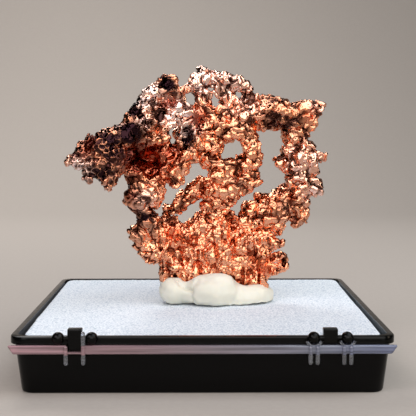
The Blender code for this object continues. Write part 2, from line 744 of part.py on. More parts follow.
make_tray(BLACK)
make_hinge_strip(CLEAR)
make_foam(FOAM)
NUGGET_SKIN = make_branches(COPPER)
make_putty(PUTTY, NUGGET_SKIN)
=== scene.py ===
"""A lacy native copper nugget, set in putty on the foam of its hinged specimen box."""

import itertools
import math

import bmesh
import bpy
import numpy as np
from mathutils import Matrix, Vector
from mathutils.bvhtree import BVHTree


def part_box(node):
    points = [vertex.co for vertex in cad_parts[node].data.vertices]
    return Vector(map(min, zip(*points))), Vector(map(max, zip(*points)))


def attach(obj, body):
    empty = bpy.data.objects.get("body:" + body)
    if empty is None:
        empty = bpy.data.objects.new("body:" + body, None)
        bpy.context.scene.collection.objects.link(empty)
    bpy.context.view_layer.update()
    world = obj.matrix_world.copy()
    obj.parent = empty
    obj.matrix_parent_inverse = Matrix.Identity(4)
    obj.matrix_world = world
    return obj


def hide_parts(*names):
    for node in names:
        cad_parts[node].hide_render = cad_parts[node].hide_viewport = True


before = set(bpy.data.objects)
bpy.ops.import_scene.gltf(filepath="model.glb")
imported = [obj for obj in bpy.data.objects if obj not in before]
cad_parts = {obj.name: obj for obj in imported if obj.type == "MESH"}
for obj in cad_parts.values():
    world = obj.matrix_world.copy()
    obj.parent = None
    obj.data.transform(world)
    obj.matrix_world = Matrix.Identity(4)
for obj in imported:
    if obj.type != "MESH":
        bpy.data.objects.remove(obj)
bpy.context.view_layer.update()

# ---------------------------------------------------------------------------- box base
# The lower half of a hinged specimen box, injection moulded in black polystyrene. The wall
# leans in to the foot, a square lip runs round the mouth, and two hinges stand on the lip: a
# lug between two ball knuckles, all moulded in one with the tray.

MM = 0.001
TRAY_LOW, TRAY_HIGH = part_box("tray")
TRAY_WIDTH = TRAY_HIGH.x - TRAY_LOW.x
FOAM_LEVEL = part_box("foam_pad")[1].z
MOUTH_WIDTH = 79.6 * MM
BODY_TOP_WIDTH = 81.0 * MM
BODY_FOOT_WIDTH = 78.8 * MM
CAVITY_FOOT_WIDTH = 76.4 * MM
TRAY_RIM = FOAM_LEVEL
LIP_UNDERSIDE = TRAY_RIM - 1.8 * MM
TRAY_FLOOR = 1.5 * MM
TRAY_CORNER = 3.0 * MM
CORNER_STEPS = 7
EDGE = 0.3 * MM
INNER_CORNER = TRAY_CORNER - EDGE
# The tray's profile, up the outside, over the lip and down to the floor of the cavity: each
# outline's width, corner radius and level
TRAY_PROFILE = [
    (BODY_FOOT_WIDTH - 4 * EDGE, TRAY_CORNER - 2 * EDGE, 0),
    (BODY_FOOT_WIDTH - 1.2 * EDGE, TRAY_CORNER - 0.6 * EDGE, 0.6 * EDGE),
    (BODY_FOOT_WIDTH, TRAY_CORNER, 2 * EDGE),
    (BODY_TOP_WIDTH, TRAY_CORNER, LIP_UNDERSIDE),
    (TRAY_WIDTH - EDGE, TRAY_CORNER - EDGE / 2, LIP_UNDERSIDE),
    (TRAY_WIDTH, TRAY_CORNER, LIP_UNDERSIDE + EDGE / 2),
    (TRAY_WIDTH, TRAY_CORNER, TRAY_RIM - EDGE),
    (TRAY_WIDTH - 0.6 * EDGE, TRAY_CORNER - 0.3 * EDGE, TRAY_RIM - 0.3 * EDGE),
    (TRAY_WIDTH - 2 * EDGE, INNER_CORNER, TRAY_RIM),
    (MOUTH_WIDTH + 0.6 * EDGE, INNER_CORNER, TRAY_RIM),
    (MOUTH_WIDTH, INNER_CORNER, TRAY_RIM - 0.6 * EDGE),
    (CAVITY_FOOT_WIDTH, INNER_CORNER, TRAY_FLOOR),
]
HINGE_OFFSET = 27.1 * MM
BALL_SPACING = 7.1 * MM
BALL_RADIUS = 1.35 * MM
BALL_LEVEL = 12.55 * MM
BALL_FRONT = -TRAY_WIDTH / 2 - 0.45 * MM
BALL_SEGMENTS = 32
BALL_RINGS = 20
PIN_RADIUS = 0.5 * MM
PIN_SEGMENTS = 24
LUG_WIDTH = 3.1 * MM
LUG_DEPTH = 2.1 * MM
LUG_FRONT = -TRAY_WIDTH / 2 - 0.95 * MM
LUG_TOP = 14.6 * MM
LUG_EDGE = 0.32 * MM
# The left lug hangs lower than the right one
HINGES = ((-HINGE_OFFSET, 10.0 * MM), (HINGE_OFFSET, 11.4 * MM))
SHARP_EDGE = math.radians(40)


def linear(code):
    """An sRGB hex colour as the linear RGBA that shaders take."""
    channels = [int(code[i : i + 2], 16) / 255 for i in (1, 3, 5)]
    return [c / 12.92 if c <= 0.04045 else ((c + 0.055) / 1.055) ** 2.4 for c in channels] + [1.0]


def plug(node, *in_order, **by_name):
    """Gives a node's sockets, in order or by name, a value or another node's output."""
    chosen = list(zip(node.inputs, in_order))
    for name, value in by_name.items():
        wanted = name.replace("_", " ").lower()
        chosen.append(([s for s in node.inputs if s.enabled and s.name.lower() == wanted][0], value))
    for socket, value in chosen:
        if isinstance(value, bpy.types.NodeSocket):
            node.id_data.links.new(value, socket)
        else:
            socket.default_value = value


def add_node(tree, kind, *in_order, settings=None, **by_name):
    """Adds a shader node with its settings, and fills its sockets."""
    node = tree.nodes.new(f"ShaderNode{kind}")
    for name, value in (settings or {}).items():
        setattr(node, name, value)
    plug(node, *in_order, **by_name)
    return node


def new_material(name, **sockets):
    """A material with one Principled shader, and the tree and the shader to build on."""
    material = bpy.data.materials.new(name)
    material.use_nodes = True
    shader = material.node_tree.nodes["Principled BSDF"]
    plug(shader, **sockets)
    return material, material.node_tree, shader


def outline(width, corner, level):
    """A square with round corners at one level, anticlockwise."""
    points = []
    reach = width / 2 - corner
    for turn, (sx, sy) in enumerate(((1, 1), (-1, 1), (-1, -1), (1, -1))):
        for step in range(CORNER_STEPS + 1):
            angle = math.pi / 2 * (turn + step / CORNER_STEPS)
            x = sx * reach + corner * math.cos(angle)
            y = sy * reach + corner * math.sin(angle)
            points.append((x, y, level))
    return points


def loft(bm, rings):
    """Skins a stack of outlines, and closes the first and the last."""
    loops = [[bm.verts.new(point) for point in ring] for ring in rings]
    for low, high in zip(loops, loops[1:]):
        for i in range(len(low)):
            bm.faces.new((low[i - 1], low[i], high[i], high[i - 1]))
    bm.faces.new(reversed(loops[0]))
    bm.faces.new(loops[-1])


def new_piece(name, bm, material):
    """Makes a mesh from bm, smooth but for its sharp edges."""
    mesh = bpy.data.meshes.new(name)
    bm.to_mesh(mesh)
    bm.free()
    mesh.shade_smooth()
    mesh.set_sharp_from_angle(angle=SHARP_EDGE)
    mesh.materials.append(material)
    piece = bpy.data.objects.new(name, mesh)
    bpy.context.scene.collection.objects.link(piece)
    return piece


def stand_for(piece, node):
    """Shows a piece in place of its solid in the frame."""
    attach(piece, "root")
    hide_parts(node)


def applied(piece):
    """The piece with its modifiers applied to its mesh."""
    bpy.context.view_layer.update()
    shaped = piece.evaluated_get(bpy.context.evaluated_depsgraph_get())
    final = bpy.data.meshes.new_from_object(shaped)
    piece.modifiers.clear()
    piece.data = final
    return piece


def unite(piece, others):
    """Joins closed meshes to the piece in one skin, and removes them."""
    for other in others:
        union = piece.modifiers.new("union", "BOOLEAN")
        union.operation = "UNION"
        union.object = other
    applied(piece)
    for other in others:
        bpy.data.objects.remove(other)
    piece.data.shade_smooth()
    piece.data.set_sharp_from_angle(angle=SHARP_EDGE)


# Moulded polystyrene: deep black and very glossy, with the faint waves of a mould's polish in its
# reflections, rubbing marks along the lip, and a little dust that shows pale on the black. The
# size of a pattern is a millimetre over how many of its marks there are in one.
RUB_MARK = MM / 0.9
DUST_SPACING = MM / 1.4
MOULD_WAVE = MM / 0.14
black_polystyrene, tree, shader = new_material(
    "black polystyrene, moulded", ior=1.5, specular_ior_level=0.14
)
place = add_node(tree, "NewGeometry").outputs["Position"]
rubs = add_node(tree, "TexNoise", vector=place, scale=1 / RUB_MARK, detail=4)
dust = add_node(tree, "TexVoronoi", vector=place, scale=1 / DUST_SPACING)
speck = add_node(tree, "MapRange", value=dust.outputs["Distance"], from_min=0.07, from_max=0.03)
black = add_node(
    tree,
    "MixRGB",
    fac=speck.outputs["Result"],
    color1=linear("#040404"),
    color2=linear("#222224"),
)
gloss = add_node(
    tree, "MapRange", value=rubs.outputs["Fac"], from_min=0.3, from_max=0.8, to_min=0.1, to_max=0.3
)
waves = add_node(tree, "TexNoise", vector=place, scale=1 / MOULD_WAVE, detail=1)
bump = add_node(tree, "Bump", height=waves.outputs["Fac"], strength=0.12, distance=0.4 * MM)
plug(
    shader,
    base_color=black.outputs["Color"],
    roughness=gloss.outputs["Result"],
    normal=bump.outputs["Normal"],
)

bm = bmesh.new()
loft(bm, [outline(*ring) for ring in TRAY_PROFILE])
tray = new_piece("tray_moulding", bm, black_polystyrene)
stand_for(tray, "tray")
knuckles = []
for hinge, lug_foot in HINGES:
    bm = bmesh.new()
    bmesh.ops.create_cube(bm, size=1.0)
    middle = Vector((hinge, LUG_FRONT + LUG_DEPTH / 2, (lug_foot + LUG_TOP) / 2))
    bmesh.ops.scale(bm, verts=bm.verts, vec=(LUG_WIDTH, LUG_DEPTH, LUG_TOP - lug_foot))
    bmesh.ops.bevel(
        bm, geom=bm.edges, offset=LUG_EDGE, segments=3, profile=0.6, affect="EDGES"
    )
    bmesh.ops.translate(bm, verts=bm.verts, vec=middle)
    knuckles.append(new_piece("lug", bm, black_polystyrene))
    for end in (-BALL_SPACING / 2, BALL_SPACING / 2):
        bm = bmesh.new()
        bmesh.ops.create_uvsphere(
            bm,
            u_segments=BALL_SEGMENTS,
            v_segments=BALL_RINGS,
            radius=BALL_RADIUS,
            matrix=Matrix.Translation((hinge + end, BALL_FRONT, BALL_LEVEL)),
        )
        knuckles.append(new_piece("ball", bm, black_polystyrene))
    bm = bmesh.new()
    bmesh.ops.create_cone(
        bm,
        cap_ends=True,
        segments=PIN_SEGMENTS,
        radius1=PIN_RADIUS,
        radius2=PIN_RADIUS,
        depth=BALL_SPACING,
        matrix=Matrix.Translation((hinge, BALL_FRONT, BALL_LEVEL))
        @ Matrix.Rotation(math.pi / 2, 4, "Y"),
    )
    knuckles.append(new_piece("pin", bm, black_polystyrene))
unite(tray, knuckles)

# ---------------------------------------------------------------------------- lid's hinge edge
# The lid is moulded in clear polystyrene, and its hinge edge hangs here along the front of the
# lip: a flat rail with soft edges, and the legs and cups of the clips that snap over the hinges.

RAIL_REACH = 41 * MM
RAIL_LEVEL = 10.2 * MM
RAIL_HALF_HEIGHT = 1.0 * MM
# The painted reflections along the rail, from its left end to its right end
RAIL_PAINTED_REFLECTIONS = (
    (0.0, "#cda4ac"),
    (0.3, "#b8989f"),
    (0.55, "#a399a3"),
    (0.8, "#9398aa"),
    (1.0, "#8088a8"),
)
DRAG_LENGTH = MM / 0.06
DRAG_WIDTH = MM / 2.6

# Clear polystyrene seen edge on: the colours it pipes are painted on as reflections, rose at the
# left end and slate blue at the right, with bright glints on its moulded edges and a fine drag of
# mould lines. The clips' legs and cups are thin, so they stay clearer than the rail.
clear_polystyrene, tree, shader = new_material(
    "clear polystyrene, moulded", ior=1.59, roughness=0.12
)
place = add_node(tree, "NewGeometry").outputs["Position"]
spot = add_node(tree, "SeparateXYZ", vector=place)
shift = add_node(
    tree, "MapRange", value=spot.outputs["X"], from_min=-RAIL_REACH, from_max=RAIL_REACH
)
# Painted reflection: the rail's colour runs from rose to slate blue along x.
painted_reflection = add_node(tree, "ValToRGB", fac=shift.outputs["Result"])
for position, code in RAIL_PAINTED_REFLECTIONS:
    if position in (0.0, 1.0):
        stop = painted_reflection.color_ramp.elements[-int(position)]
    else:
        stop = painted_reflection.color_ramp.elements.new(position)
    stop.color = linear(code)
drag = add_node(
    tree, "Mapping", vector=place, scale=(1 / DRAG_LENGTH, 1 / DRAG_LENGTH, 1 / DRAG_WIDTH)
)
lines = add_node(tree, "TexNoise", vector=drag.outputs["Vector"], scale=1, detail=3)
streak = add_node(
    tree,
    "MapRange",
    value=lines.outputs["Fac"],
    from_min=0.35,
    from_max=0.7,
    to_min=0.55,
    to_max=1.15,
)
on_rail = add_node(
    tree,
    "Math",
    spot.outputs["Z"],
    RAIL_LEVEL,
    RAIL_HALF_HEIGHT,
    settings={"operation": "COMPARE"},
)
rail_or_leg_colour = add_node(
    tree,
    "MixRGB",
    fac=on_rail.outputs["Value"],
    color1=linear("#d6dae2"),
    color2=painted_reflection.outputs["Color"],
)
streaked = add_node(
    tree,
    "VectorMath",
    settings={"operation": "SCALE"},
    vector=rail_or_leg_colour.outputs["Color"],
    scale=streak.outputs["Result"],
)
clear = add_node(tree, "MapRange", value=on_rail.outputs["Value"], to_min=0.9, to_max=0.5)
bump = add_node(tree, "Bump", height=lines.outputs["Fac"], strength=0.3, distance=0.05 * MM)
plug(
    shader,
    base_color=streaked.outputs["Vector"],
    transmission_weight=clear.outputs["Result"],
    normal=bump.outputs["Normal"],
)
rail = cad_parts["lid_hinge_strip"]
rail.data.materials.clear()
rail.data.materials.append(clear_polystyrene)

# ---------------------------------------------------------------------------- foam
# A square of white open-celled foam, sawn a little out of true and pushed into the tray. Its cut
# face is a sandpaper of torn cell walls, and its sawn edge is ragged against the black lip.

CELL = 0.42 * MM
GRIT_IN_CELL = CELL / 1.7
FOAM_MESH = 0.42 * MM
TEAR_DEPTH = 0.4 * CELL
SAW_WAVE = 9 * MM
SAW_WAVE_HEIGHT = 0.1 * MM
TOP_SINK = 0.12 * MM
SIDE_SINK = 0.1 * MM
SIDE_RAGGED = 2.5
WELD = 0.001 * MM

# Torn polyurethane cells: a cool white that scatters light like snow, with painted glints where the
# glassy cell windows catch it here and there, and a blue-grey between them.
white_foam, tree, shader = new_material(
    "white polyurethane foam, sawn",
    roughness=0.85,
    subsurface_weight=0.15,
    subsurface_scale=1.2 * MM,
    subsurface_radius=(1.0, 1.0, 1.0),
)
place = add_node(tree, "NewGeometry").outputs["Position"]
# Painted glints: bright white at the middle of each cell, blue-grey toward its edges.
cells = add_node(tree, "TexVoronoi", vector=place, scale=1 / CELL)
wall = add_node(tree, "MapRange", value=cells.outputs["Distance"], from_min=0.1, from_max=0.9)
white = add_node(
    tree,
    "MixRGB",
    fac=wall.outputs["Result"],
    color1=linear("#f6fbff"),
    color2=linear("#b3c2d1"),
)
grit = add_node(tree, "TexNoise", vector=place, scale=1 / GRIT_IN_CELL, detail=2)
bump = add_node(tree, "Bump", height=grit.outputs["Fac"], strength=0.8, distance=0.3 * MM)
plug(shader, base_color=white.outputs["Color"], normal=bump.outputs["Normal"])


def melted(name, node, material):
    """A copy of a solid of the frame as one piece, with its flat faces welded together."""
    bm = bmesh.new()
    bm.from_mesh(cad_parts[node].data)
    bmesh.ops.remove_doubles(bm, verts=bm.verts, dist=WELD)
    return new_piece(name, bm, material)


def skin_of(piece):
    """A piece's vertices and their normals, as arrays."""
    count = len(piece.data.vertices)
    points = np.empty(count * 3)
    normals = np.empty(count * 3)
    piece.data.vertices.foreach_get("co", points)
    piece.data.vertices.foreach_get("normal", normals)
    return points.reshape(-1, 3), normals.reshape(-1, 3)


def move_skin(piece, points):
    """Puts a piece's vertices at new places."""
    piece.data.vertices.foreach_set("co", points.ravel())
    piece.data.update()


def dice(cells, seed):
    """One repeatable random number, 0 to 1, for each cell of a grid. Large odd multipliers
    scatter neighbouring cells."""
    x, y, z = cells.astype(np.int64).astype(np.uint32).T
    mixed = x * 374761393 + y * 668265263 + z * 2246822519 + np.uint32(seed * 40503)
    mixed = (mixed ^ (mixed >> 13)) * 1274126177
    return (mixed ^ (mixed >> 16)) / 2**32


def hills(points, size):
    """Smooth hills and hollows of about one size, -1 to 1."""
    scaled = points / size
    home = np.floor(scaled)
    part = scaled - home
    part = part * part * (3 - 2 * part)
    height = np.zeros(len(points))
    for corner in itertools.product((0, 1), repeat=3):
        weight = np.prod(np.where(corner, part, 1 - part), axis=1)
        height += weight * dice(home + corner, 7)
    return height * 2 - 1


def packed_grains(points, size):
    """For each point, how far the nearest and the next grain's centre are, in grain sizes, with
    the way to the nearest and a random lean of its own."""
    scaled = points / size
    home = np.floor(scaled)
    first = np.full(len(points), 9.0)
    second = first.copy()
    offset = np.zeros_like(points)
    owner = np.zeros_like(points)
    for step in itertools.product((-1, 0, 1), repeat=3):
        cell = home + step
        way = scaled - cell - np.stack([dice(cell, seed) for seed in (1, 2, 3)], axis=1)
        away = np.sqrt((way**2).sum(1))
        closer = away < first
        second = np.where(closer, first, np.minimum(second, away))
        first = np.where(closer, away, first)
        offset[closer] = way[closer]
        owner[closer] = cell[closer]
    lean = np.stack([dice(owner, seed) for seed in (4, 5, 6)], axis=1) * 2 - 1
    return first, second, offset, lean


foam = melted("sawn_foam", "foam_pad", white_foam)
stand_for(foam, "foam_pad")
even_skin = foam.modifiers.new("even skin", "REMESH")
even_skin.mode = "VOXEL"
even_skin.voxel_size = FOAM_MESH
applied(foam)
points, normals = skin_of(foam)
torn = TEAR_DEPTH * (0.5 - packed_grains(points, CELL)[0])
wave = SAW_WAVE_HEIGHT * hills(points, SAW_WAVE)
on_top = normals[:, 2:] > 0.5
sawn = (torn + wave)[:, None]
top_shift = [0, 0, 1] * (sawn - TOP_SINK)
side_shift = normals * (SIDE_RAGGED * sawn - SIDE_SINK)
move_skin(foam, points + np.where(on_top, top_shift, side_shift))
foam.data.shade_smooth()

# ---------------------------------------------------------------------------- putty
# Ivory mineral tack, rolled into lumps by hand and pressed round the nugget's foot. The lumps keep
# their outlines as soft lobes, with creases where they meet and folds where a thumb pushed.

PUTTY_MESH = 0.3 * MM
# The lumps are swollen until their valleys fill, then shrunk back to a little over their size
VALLEY_FILL = 1.7 * MM
PUTTY_SWELL = 0.25 * MM
RELAX_STEPS = 20
RELAX_FACTOR = 0.6
THUMB_DENT = 3.5 * MM
THUMB_DENT_DEPTH = 0.3 * MM
SKIN_DENT = 1.1 * MM
SKIN_DENT_DEPTH = 0.05 * MM
FOAM_PRESS = 0.2 * MM
# Each crease: a line over the front of the putty, as (x, height above the foam), and its depth
CREASES = [
    ([(-6.4, 6.6), (-5.2, 5.4), (-4.0, 4.4), (-3.2, 3.8)], 0.8),
    ([(-4.0, 4.4), (-2.6, 5.0), (-1.4, 6.2)], 0.4),
    ([(-3.2, 3.8), (-3.2, 2.2), (-2.4, 0.4)], 0.5),
    ([(8.6, 6.6), (9.4, 4.6), (9.0, 2.6), (7.8, 0.6)], 0.45),
    ([(13.4, 4.4), (14.6, 3.0), (15.0, 1.0)], 0.25),
    ([(0.6, 6.9), (2.2, 6.2), (4.4, 6.6)], 0.2),
    ([(-10.4, 4.4), (-9.0, 3.2), (-9.2, 1.6)], 0.25),
]
CREASE_WIDTH = 0.7 * MM
# Creases end where the skin turns to face the back
BACK_FACING = 0.3

# Synthetic tack: warm ivory with a waxy skin, so light sinks in a little and its highlights are
# broad and dim. Fine skin lines from the hands that pressed it show only in the sheen.
TACK_MOTTLE = MM / 0.32
SKIN_LINE = MM / 2.2
ivory_tack, tree, shader = new_material(
    "ivory tack, hand pressed",
    roughness=0.55,
    subsurface_weight=0.25,
    subsurface_scale=1.5 * MM,
    subsurface_radius=(1.0, 0.8, 0.5),
    specular_ior_level=0.35,
)
place = add_node(tree, "NewGeometry").outputs["Position"]
mottle = add_node(tree, "TexNoise", vector=place, scale=1 / TACK_MOTTLE, detail=3)
ivory = add_node(
    tree,
    "MixRGB",
    fac=mottle.outputs["Fac"],
    color1=linear("#cfcebf"),
    color2=linear("#dedcd1"),
)
lines = add_node(tree, "TexNoise", vector=place, scale=1 / SKIN_LINE, detail=3)
bump = add_node(tree, "Bump", height=lines.outputs["Fac"], strength=0.25, distance=0.06 * MM)
plug(shader, base_color=ivory.outputs["Color"], normal=bump.outputs["Normal"])


def away_from_line(points, line):
    """How far points are, in the front view, from a line of (x, height) corners, in metres."""
    flat = points[:, [0, 2]] - (0, FOAM_LEVEL)
    nearest = np.ones(len(points))
    for a, b in zip(line, line[1:]):
        start, run = np.array(a) * MM, np.subtract(b, a) * MM
        along = np.clip((flat - start) @ run / (run @ run), 0, 1)
        nearest = np.minimum(nearest, np.linalg.norm(flat - start - along[:, None] * run, axis=1))
    return nearest


def swollen(piece, growth, voxel):
    """Grows a piece outwards, or inwards where growth is negative, and gives it an even mesh."""
    fatten = piece.modifiers.new("swell", "DISPLACE")
    fatten.mid_level = 0
    fatten.strength = growth
    fuse = piece.modifiers.new("fuse", "REMESH")
    fuse.mode = "VOXEL"
    fuse.voxel_size = voxel
    return applied(piece)


putty = melted("pressed_putty", "mounting_putty", ivory_tack)
swollen(putty, VALLEY_FILL, PUTTY_MESH)
swollen(putty, PUTTY_SWELL - VALLEY_FILL, PUTTY_MESH)
relax = putty.modifiers.new("relax", "SMOOTH")
relax.iterations = RELAX_STEPS
relax.factor = RELAX_FACTOR
applied(putty)
points, normals = skin_of(putty)
rise = THUMB_DENT_DEPTH * hills(points, THUMB_DENT) + SKIN_DENT_DEPTH * hills(points, SKIN_DENT)
for line, depth in CREASES:
    crease = np.exp(-((away_from_line(points, line) / CREASE_WIDTH) ** 2))
    rise -= depth * MM * crease * (normals[:, 1] < BACK_FACING)
points += normals * rise[:, None]
points[:, 2] = np.maximum(points[:, 2], FOAM_LEVEL - FOAM_PRESS)
move_skin(putty, points)
putty.data.shade_smooth()
stand_for(putty, "mounting_putty")

# ---------------------------------------------------------------------------- copper nugget
# One branching piece of native copper, grown as a lace of crystals in a rock seam and cleaned in
# acid. It is divided at its main forks. Each branch is a closed piece, and its ends run on into
# its neighbours, so that the forks look like solid metal.

COPPER_NODES = [name for name in sorted(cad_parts) if name.startswith("copper_")]
BRANCH_SOLIDS = {
    node: BVHTree.FromPolygons(
        [vertex.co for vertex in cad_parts[node].data.vertices],
        [face.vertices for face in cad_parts[node].data.polygons],
    )
    for node in COPPER_NODES
}
COPPER_SWELL = 0.3 * MM
FUSE_MESH = 0.32 * MM
COPPER_MESH = 0.21 * MM
# Two branches' kinds of growth blend over FORK_BLEND where they meet
FORK_BLEND = 0.8 * MM
FORK_REACH = 3.0 * MM
FORK_GAP = 0.3 * MM
FORK_SEARCH = 1.4 * FORK_GAP
FORK_OVERLAP = 0.9 * MM
# How each branch grew, as the strength of: slabs, knobs, crystal faces, grit, raised ribs between
# flat faces, upright folds, and level folds
GROWTH = {
    "copper_foot": (0.3, 0.14, 0.24, 0.34, 0.00, 0.34, 0.00),
    "copper_left_column": (0.4, 0.26, 0.34, 0.12, 0.05, 0.00, 0.00),
    "copper_left_wing": (1.0, 0.08, 0.12, 0.06, 0.60, 0.00, 0.00),
    "copper_shoulder": (1.2, 0.18, 0.40, 0.08, 0.12, 0.05, 0.00),
    "copper_crown": (0.6, 0.12, 0.34, 0.12, 0.00, 0.28, 0.00),
    "copper_heart": (0.5, 0.16, 0.42, 0.18, 0.00, 0.00, 0.05),
    "copper_right_arm": (0.5, 0.16, 0.36, 0.15, 0.00, 0.00, 0.18),
    "copper_right_bow": (0.4, 0.30, 0.38, 0.12, 0.00, 0.00, 0.00),
}
# How wide each kind is
SLAB = 5.0 * MM
KNOB = 2.8 * MM
FACE = 2.6 * MM
GRIT = 1.15 * MM
RIB_CELL = 1.6 * MM
UPRIGHT_FOLD = np.array([1.3, 1.3, 5]) * MM
LEVEL_FOLD = np.array([4, 1.2, 1.2]) * MM
FINER_FOLD = 2.1
# Grooves and ribs between grains, as shares of a grain
GROOVE_WIDTH = 0.14
RIB_WIDTH = 0.13
RIB_SINK = 0.35
DOME_LEVEL = 0.4
# Grains are pushed out of shape by hills of their own size, so that none is a regular cobble
TWIST = 0.42
TWIST_WIDTH = 0.8
TWIST_STEP = 31 * MM
# Patches: (x, height above the foam), reach and strength. Brown-black patches first
DARK_PATCHES = [
    ((-17.0, 43.0), 3.6, 1.3),
    ((-16.2, 49.2), 2.8, 1.3),
    ((-10.5, 47.0), 2.0, 0.8),
    ((-21.5, 40.5), 8.2, 1.0),
    ((-30.0, 38.5), 2.5, 0.8),
    ((-24.0, 33.0), 5.0, 0.95),
    ((-8.9, 55.0), 2.6, 1.5),
    ((-3.8, 41.6), 2.6, 1.1),
    ((-17.0, 27.0), 3.5, 0.7),
    ((-13.7, 22.0), 3.2, 1.0),
    ((-16.5, 17.5), 2.5, 0.5),
    ((18.5, 46.5), 4.0, 0.6),
    ((17.5, 51.8), 1.8, 0.6),
    ((23.5, 45.0), 3.0, 0.6),
    ((25.5, 42.0), 2.0, 0.5),
    ((20.8, 23.5), 2.6, 0.8),
    ((24.5, 20.5), 2.0, 0.5),
    ((9.0, 30.5), 3.0, 0.35),
]
# Pale pink metal, partly its own cleaner tint and partly a painted highlight on the brightest faces
ROSY_AND_HIGHLIGHT = [
    ((-13.5, 51.5), 4.0, 1.0),
    ((-6.5, 48.0), 4.5, 1.0),
    ((-3.5, 44.0), 3.0, 0.9),
    ((-14.0, 45.5), 2.0, 0.8),
    ((1.0, 56.0), 5.0, 0.9),
    ((7.0, 54.5), 4.0, 0.7),
    ((-29.0, 34.6), 3.2, 0.9),
    ((-24.5, 30.0), 1.6, 0.7),
    ((10.0, 52.0), 5.0, 0.5),
    ((26.0, 35.0), 6.0, 0.5),
    ((29.0, 28.0), 4.0, 0.6),
    ((29.0, 49.0), 2.5, 0.4),
    ((-14.0, 27.0), 3.0, 0.4),
]
# Painted deep red in the hollows, for light bounced round inside them
PAINTED_HOLLOW_RED = [
    ((-16.5, 36.8), 4.0, 0.95),
    ((-12.0, 36.3), 4.6, 1.0),
    ((-8.0, 37.7), 2.6, 0.9),
    ((-26.2, 41.0), 1.7, 0.9),
    ((-27.6, 38.4), 1.7, 0.8),
    ((-0.7, 46.8), 2.2, 0.9),
    ((-7.9, 50.6), 1.6, 1.0),
    ((-17.6, 27.6), 1.5, 0.8),
]
# Painted strong orange, for light bounced where faces mirror each other
PAINTED_BOUNCE_GLOW = [
    ((-7.6, 17.6), 2.2, 0.7),
    ((-5.5, 15.5), 1.8, 0.4),
    ((15.9, 9.0), 2.2, 0.7),
    ((27.0, 47.5), 1.6, 0.5),
    ((-9.3, 31.5), 1.3, 0.5),
]
# Large crystal faces that grew flat, with the relief on them held down by FLATNESS
FLATS = [
    ((-16.5, 36.8), 4.0, 0.9),
    ((-12.0, 36.3), 4.6, 1.0),
    ((-8.0, 37.7), 2.4, 0.9),
    ((-17.0, 43.0), 3.4, 1.0),
    ((-26.2, 41.0), 1.5, 0.9),
    ((-27.6, 38.4), 1.5, 0.9),
    ((-0.7, 46.8), 1.8, 0.9),
    ((-7.9, 50.6), 1.2, 0.9),
]
FLATNESS = 0.85
# The densest growth, with a softer sheen and a painted orange glow in its creases
SATIN_AND_PAINTED_GLOW = [
    ((3.0, 9.0), 13.0, 1.0),
    ((3.0, 29.0), 6.0, 0.6),
    ((20.0, 25.0), 5.0, 0.5),
]
PATCH_FALLOFF = 3
# How many standard deviations of the relief lie between its crests and its creases
CREASE_SPREAD = 2.5

# Native copper, acid cleaned: a bright salmon metal of countless small crystal faces. Each face
# mirrors its own bit of the room, so white glints sit beside brown-black creases. Painted shade
# darkens the creases, a painted red and orange glow of bounced light fills hollows and facing faces,
# and a painted pale highlight lightens some faces. Brown-black patches darken a few branches, less
# on crests.
COLOUR_PATCH = MM / 0.26
MOTTLE = MM / 0.9
FACET = 1.5 * MM
FACET_LEAN = 0.14
SATIN_BLUR = 0.14
native_copper, tree, shader = new_material("native copper, acid cleaned", metallic=1.0)
geometry = add_node(tree, "NewGeometry")
place = geometry.outputs["Position"]
marks = {
    name: add_node(tree, "Attribute", settings={"attribute_name": name}).outputs["Fac"]
    for name in ("crease", "rosy_and_highlight", "satin", "dark_patch", "painted_hollow_red", "painted_bounce_glow")
}
patches = add_node(tree, "TexNoise", vector=place, scale=1 / COLOUR_PATCH, detail=3)
amber = add_node(
    tree,
    "MixRGB",
    fac=patches.outputs["Fac"],
    color1=linear("#f59a70"),
    color2=linear("#fab48e"),
)
# Lighter pink metal: partly the metal's own tint, partly a painted highlight.
metal = add_node(
    tree, "MixRGB", fac=marks["rosy_and_highlight"], color1=amber.outputs["Color"], color2=linear("#fbd8ca")
)
# Painted shade in the creases: the deeper the crease, the more its colour turns dark.
shade = add_node(
    tree, "MapRange", value=marks["crease"], from_min=0.55, from_max=0.9, to_max=0.92
)
# Crease colour: painted brown-black shade, or a painted orange glow of bounced light where the
# growth is densest.
painted_crease_shade = add_node(
    tree, "MixRGB", fac=marks["satin"], color1=linear("#3a130a"), color2=linear("#a03a16")
)
crease_shaded = add_node(
    tree,
    "MixRGB",
    fac=shade.outputs["Result"],
    color1=metal.outputs["Color"],
    color2=painted_crease_shade.outputs["Color"],
)
# Painted orange glow of light bounced between facing faces.
bounce_glowed = add_node(
    tree, "MixRGB", fac=marks["painted_bounce_glow"], color1=crease_shaded.outputs["Color"], color2=linear("#e8683a")
)
mottle = add_node(tree, "TexNoise", vector=place, scale=1 / MOTTLE, detail=3)
dim = add_node(
    tree,
    "MapRange",
    value=mottle.outputs["Fac"],
    from_min=0.35,
    from_max=0.65,
    to_min=0.75,
    to_max=1.0,
)
# Painted deep red of light bounced round the hollows, broken up by a random mottle.
hollow_red_share = add_node(
    tree, "Math", marks["painted_hollow_red"], dim.outputs["Result"], settings={"operation": "MULTIPLY"}
)
hollow_reddened = add_node(
    tree,
    "MixRGB",
    fac=hollow_red_share.outputs["Value"],
    color1=bounce_glowed.outputs["Color"],
    color2=linear("#952915"),
)
